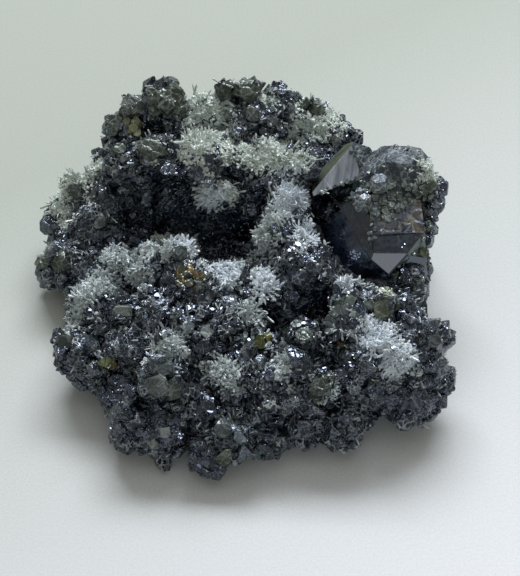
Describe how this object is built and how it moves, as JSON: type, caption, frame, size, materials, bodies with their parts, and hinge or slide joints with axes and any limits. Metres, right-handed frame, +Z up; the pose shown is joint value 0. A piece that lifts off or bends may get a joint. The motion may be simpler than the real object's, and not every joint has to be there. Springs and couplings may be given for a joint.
{
  "type": "sphalerite specimen",
  "caption": "Black sphalerite crystals grown together round an open vug, with large crystals at one corner and sprays of quartz needles; a loose hand specimen for a shelf or desk.",
  "frame": {"origin": "under the middle of the bounding box, on the surface it rests on", "axes": "+Z up, +X to the right, +Y to the rear, the large crystals at +X +Y"},
  "size_m": [0.0822, 0.0842, 0.0325],
  "materials": {
    "black_sphalerite": "adamantine crystal faces, nearly black",
    "quartz": "clear to milky needles, glassy"
  },
  "bodies": {
    "root": {"sphalerite_mass": "black_sphalerite", "quartz_druse_rear": "quartz", "quartz_crest_left": "quartz", "quartz_crest_middle": "quartz", "quartz_crest_right": "quartz", "quartz_rear_right": "quartz", "quartz_rear_wall": "quartz", "quartz_spray_centre": "quartz", "quartz_spray_ridge": "quartz", "quartz_spray_hollow": "quartz", "quartz_spray_middle": "quartz", "quartz_druse_middle": "quartz", "quartz_spray_left_ridge": "quartz", "quartz_spray_vug_lip": "quartz", "quartz_spray_left": "quartz", "quartz_druse_front_left": "quartz", "quartz_druse_front": "quartz", "quartz_druse_right": "quartz", "quartz_spray_right": "quartz", "quartz_druse_small": "quartz", "quartz_crust_left_upper": "quartz", "quartz_crust_left_lower": "quartz", "quartz_tip_right": "quartz"}
  },
  "joints": []
}
